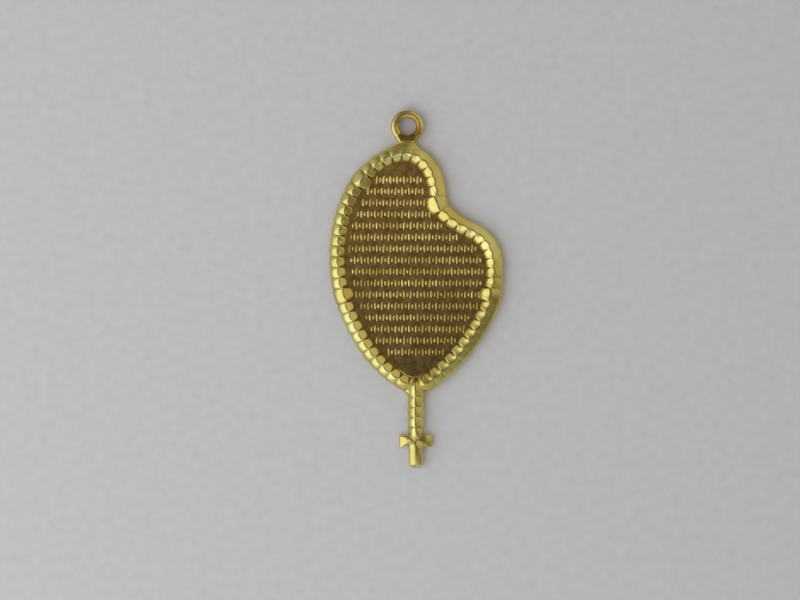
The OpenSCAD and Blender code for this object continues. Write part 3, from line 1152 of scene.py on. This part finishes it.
# Side of an arm from its back up: share of its reach, and share of its height
ARM_SIDE = [(0.96, 0), (1, 0.4), (0.96, 0.72)]
# Edge of an arm's top: how far in from the edge, and share of its height
ARM_EDGE = [(-0.04, 0.97), (0.05, 1)]
LEFT_ARM = [
    # place, reach down and up, height, lower and upper edge of the top
    (0.2, 0.5, 0.62, 1.0, -0.05, 0.15),
    (0.5, 0.52, 0.64, 1.0, -0.08, 0.18),
    (0.85, 0.56, 0.66, 0.96, -0.2, 0.3),
    (1.15, 0.62, 0.68, 0.91, -0.35, 0.38),
    (1.45, 0.69, 0.7, 0.85, -0.52, 0.44),
    (1.95, 0.77, 0.74, 0.74, -0.68, 0.5),
]
RIGHT_ARM = [
    (0.2, 0.6, 0.62, 0.9, -0.4, 0.4),
    (0.5, 0.62, 0.64, 0.9, -0.45, 0.45),
    (0.85, 0.7, 0.68, 0.9, -0.55, 0.55),
    (1.15, 0.74, 0.71, 0.88, -0.6, 0.6),
    (1.45, 0.76, 0.73, 0.84, -0.63, 0.63),
    (1.95, 0.77, 0.74, 0.77, -0.64, 0.64),
]


def round_off(stations, scaled, rounding, shrink):
    """Stations of an arm with its last one replaced by steps that round the end off.

    Scaled is how many values after the place shrink towards the end.
    """
    last, *values = stations[-1]
    rows = list(stations[:-1])
    for k in range(END_STEPS + 1):
        angle = math.pi / 2 * k / END_STEPS
        keep = 1 - (1 - math.cos(angle)) * shrink
        place = last - rounding + rounding * math.sin(angle)
        rows.append((place, *(v * keep for v in values[:scaled]), *values[scaled:]))
    return rows


def side_arm(name, direction, stations):
    """Faceted arm along X, to the left with a direction of -1."""
    sections = []
    for place, down, up, height, low, high in round_off(stations, 3, ARM_ROUNDING, ARM_SHRINK):
        section = [(-down * a, height * b) for a, b in ARM_SIDE]
        section += [(low + a, height * b) for a, b in ARM_EDGE]
        section += [((low + high) / 2, height)]
        section += [(high - a, height * b) for a, b in ARM_EDGE[::-1]]
        section += [(up * a, height * b) for a, b in ARM_SIDE[::-1]]
        x, y = STEM_X + direction * place, CROSS_Y + ARM_DROP
        sections.append([(x, y + s, z) for s, z in section])
    return loft(name, sections, tumbled)


arms = [side_arm("cross_arm_left", -1, LEFT_ARM), side_arm("cross_arm_right", 1, RIGHT_ARM)]

# %% [markdown]
# ## The foot and the head
# The foot starts as a roof with a narrow top, between the two arms, and turns into a slab with
# rounded shoulders towards its end. Two lofts would meet in a step that the real foot doesn't have.
# So it is one, blended from one half section to the other. The head is the end of the stem's rod,
# so it keeps a plain round section.

# %% Foot
# Half sections, from the side to the middle: place as a share of the half width, and height as a
# share of the full one
ROOF = [
    (0.94, 0), (0.99, 0.2), (1, 0.42), (0.97, 0.62), (0.9, 0.75), (0.8, 0.82), (0.6, 0.89),
    (0.42, 0.95), (0.34, 0.965), (0.1, 1),
]
SLAB = [
    (0.94, 0), (0.99, 0.25), (1, 0.5), (0.99, 0.7), (0.96, 0.8), (0.9, 0.86), (0.78, 0.91),
    (0.62, 0.94), (0.35, 0.97), (0.1, 1),
]
# The foot's end is rounded off more than the ends of the side arms
FOOT_ROUNDING = 0.5
FOOT_SHRINK = 0.9
FOOT = [
    # place downwards, width, height, and how much of a slab it is
    (-0.25, 0.9, 0.92, 0),
    (0, 1.2, 1.02, 0),
    (0.1, 1.42, 1.12, 0),
    (0.2, 1.58, 1.22, 0),
    (0.35, 1.68, 1.31, 0),
    (0.6, 1.7, 1.36, 0),
    (0.9, 1.7, 1.36, 0.1),
    (1.6, 1.62, 1.32, 0.3),
    (2.4, 1.56, 1.25, 0.7),
    (3.3, 1.5, 1.16, 1),
]
sections = []
for place, width, height, slab in round_off(FOOT, 2, FOOT_ROUNDING, FOOT_SHRINK):
    half = [
        (width / 2 * (a + (c - a) * slab), height * (b + (d - b) * slab))
        for (a, b), (c, d) in zip(ROOF, SLAB)
    ]
    section = half + [(-s, z) for s, z in half[::-1]]
    sections.append([(STEM_X + s, CROSS_Y - place, z) for s, z in section])
arms.append(loft("cross_foot", sections, tumbled))

# %% Head
HEAD = [
    # place upwards, width, height
    (-0.2, 0.9, 0.92),
    (0, 1.25, 1.05),
    (0.15, 1.5, 1.22),
    (0.35, 1.68, 1.36),
    (0.6, 1.76, 1.45),
    (0.9, 1.81, 1.49),
    (1.2, 1.84, 1.5),
    (1.42, 1.84, 1.49),
]
sections = [
    [(STEM_X + x, CROSS_Y + place, z) for x, z in arch(width, height, points=24)]
    for place, width, height in HEAD
]
arms.append(loft("cross_head", sections, tumbled))

# %% [markdown]
# ## The web and the lip
# Where the border runs into the stem the crotch isn't sharp: metal filled the corner of the mould
# and left a flared web there. Inside the heart the same corner holds a thin lip, which follows the
# beads round the bottom of the panel like a line of solder. A bevel can't reach across pieces that
# only overlap, so both are small lofts of their own.

# %% Web
WEB = [
    # y, width, height
    (-11.3, 4.2, 1.0),
    (-11.75, 3.7, 1.1),
    (-12.0, 3.0, 1.15),
    (-12.2, 2.5, 1.18),
    (-12.45, 2.15, 1.2),
    (-12.75, 1.9, 1.2),
]
sections = [
    [(STEM_X + x, y + TO_MIDDLE[1], z) for x, z in arch(width, height, edge=0.8, points=22)]
    for y, width, height in WEB
]
web = loft("stem_web", sections, tumbled)

# %% Lip
# Places along the lip, and how full it is there
LIP_LINE = [
    (-2.2, -9.22, 0.1), (-1.9, -9.54, 0.6), (-1.61, -9.8, 1), (-1.135, -10.13, 1),
    (-0.606, -10.33, 1), (-0.076, -10.34, 1), (0.394, -10.15, 0.8), (0.747, -9.87, 0.4),
    (1.04, -9.6, 0.1),
]
LIP_WIDTH = 0.3
LIP_HEIGHT = 0.16
# The lip goes on this far below the panel's face
LIP_SUNK = 0.1

middles = np.array([(x, y) for x, y, _ in LIP_LINE]) + TO_MIDDLE
ways = np.gradient(middles, axis=0)
ways /= np.linalg.norm(ways, axis=1, keepdims=True)
sections = []
for (x, y), (along_x, along_y), (_, _, full) in zip(middles, ways, LIP_LINE):
    height = LIP_HEIGHT * full + LIP_SUNK
    section = arch(LIP_WIDTH * full, height, points=10, back=PANEL_TOP - LIP_SUNK)
    sections.append([(x - along_y * s, y + along_x * s, z) for s, z in section])
lip = loft("panel_lip", sections, tumbled)

# %% [markdown]
# ## Riding on the frame
# Every piece moves with the pendant's one body, and stands for the construction model's node, which
# is then hidden.

# %% Hand the pieces over
pieces = [border, stem, web, panel, lip, relief, loop, neck, *arms]
for piece in pieces:
    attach(piece, "root")
    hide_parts("pendant")
print("pieces:", [p.name for p in pieces])

# %% [markdown]
# ## The paper
# The pendant lies on pale paper. A plain grey floor would look like plastic, so the paper's tone
# varies a little with its fibres. Real fibres are too fine to show from here, and what does show is
# how they clump, about a millimetre wide.

# %% Paper
# How many clumps of fibre fit in a millimetre
CLUMPS = 0.9
# Half the side of the floor, in millimetres
FLOOR_HALF = 600

paper = bpy.data.materials.new("pale_paper")
paper.use_nodes = True
tree = paper.node_tree
shader = tree.nodes["Principled BSDF"]
shader.inputs["Roughness"].default_value = 0.9
place = add(tree, "ShaderNodeTexCoord").outputs["Object"]
fibres = add(tree, "ShaderNodeTexNoise", {"Vector": place, "Scale": CLUMPS / MM, "Detail": 4})
tone = add(
    tree, BLEND, {0: fibres, 6: linear("#D8D9DB"), 7: linear("#E9EAEC")}, data_type="RGBA"
)
tree.links.new(tone.outputs[2], shader.inputs["Base Color"])

corners = [(-1, -1), (1, -1), (1, 1), (-1, 1)]
floor = new_piece(
    "floor", [(x * FLOOR_HALF, y * FLOOR_HALF, 0) for x, y in corners], faces=[(0, 1, 2, 3)]
)
floor.data.materials.append(paper)
floor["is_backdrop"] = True
print("floor of", 2 * FLOOR_HALF, "mm")

# %% [markdown]
# ## The room
# Metal shows what is around it, so the room matters more than the lamp. It could be built from walls
# or taken from a picture of a real room. A few levels of light in the right directions do as well
# and load faster. The room is bright on the left, dim at the top and lit again on the right. A warm
# dark patch straight above is what the flat panel and the tops of the beads mirror.

# %% Room
# Light of the walls by direction, from 0 on the right, past the dim top, to 1 on the left
WALLS = [
    (0.08, (0.62, 0.56, 0.46, 1)),
    (0.2, (0.2, 0.175, 0.13, 1)),
    (0.42, (0.3, 0.285, 0.26, 1)),
    (0.6, (0.58, 0.58, 0.6, 1)),
    (0.92, (0.58, 0.6, 0.7, 1)),
]
LEFT_WALL = (-0.8, -0.6, 0)
# The dark patch: its light, its middle, and the cosines between which it fades in
PATCH_LIGHT = (0.13, 0.1, 0.085, 1)
PATCH_MIDDLE = (-0.04, 0.03, 0.9987)
PATCH_EDGE = (0.9, 0.985)

world = bpy.data.worlds.new("studio")
bpy.context.scene.world = world
world.use_nodes = True
tree = world.node_tree
direction = add(tree, "ShaderNodeTexCoord").outputs["Generated"]
above = add(tree, VECTORS, (direction, PATCH_MIDDLE), operation="DOT_PRODUCT").outputs["Value"]
overhead = add(
    tree,
    "ShaderNodeMapRange",
    {"Value": above, "From Min": PATCH_EDGE[0], "From Max": PATCH_EDGE[1]},
    interpolation_type="SMOOTHSTEP",
)
level = add(tree, VECTORS, (direction, (1, 1, 0)), operation="MULTIPLY")
level = add(tree, VECTORS, [level], operation="NORMALIZE")
facing = add(tree, VECTORS, (level, LEFT_WALL), operation="DOT_PRODUCT").outputs["Value"]
turned = add(tree, "ShaderNodeMapRange", {"Value": facing, "From Min": -1, "From Max": 1})
walls = add(tree, "ShaderNodeValToRGB", [turned])
ramp = walls.color_ramp
ramp.elements.remove(ramp.elements[1])
for k, (place, colour) in enumerate(WALLS):
    stop = ramp.elements.new(place) if k else ramp.elements[0]
    stop.position = place
    stop.color = colour
room = add(tree, BLEND, {0: overhead, 6: walls.outputs[0], 7: PATCH_LIGHT}, data_type="RGBA")
tree.links.new(room.outputs[2], tree.nodes["Background"].inputs["Color"])
print("stops of light round the room:", len(ramp.elements))

# %% [markdown]
# ## The lamp
# The soft shadow at the right of each piece, and the bright row of highlights on the left, come from
# one window on the left. A broad disk lamp gives both. A small one would make the shadows hard.

# %% Window
# In metres and watts
WINDOW_SIZE = 0.296
WINDOW_PLACE = (-0.145, -0.058, 0.145)
WINDOW_POWER = 0.17

lamp = bpy.data.lights.new("window", "AREA")
lamp.shape = "DISK"
lamp.size = WINDOW_SIZE
lamp.energy = WINDOW_POWER
lamp.color = (0.97, 0.98, 1)
window = bpy.data.objects.new("window", lamp)
window.location = WINDOW_PLACE
window.rotation_euler = (-window.location).to_track_quat("-Z", "Y").to_euler()
bpy.context.scene.collection.objects.link(window)
bpy.context.scene.view_settings.view_transform = "Standard"
print("window", round(window.location.length, 3), "m away")

# %% [markdown]
# ## Sizes and finish
# The size of the dressed pendant is printed beside the construction model's, because a finer
# shape must not grow past it.

# %% Sizes
shown_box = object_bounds()
for label, box in (("cad", cad_box), ("visual", shown_box)):
    print(label, [round(x / MM, 3) for x in box[1] - box[0]], "mm")
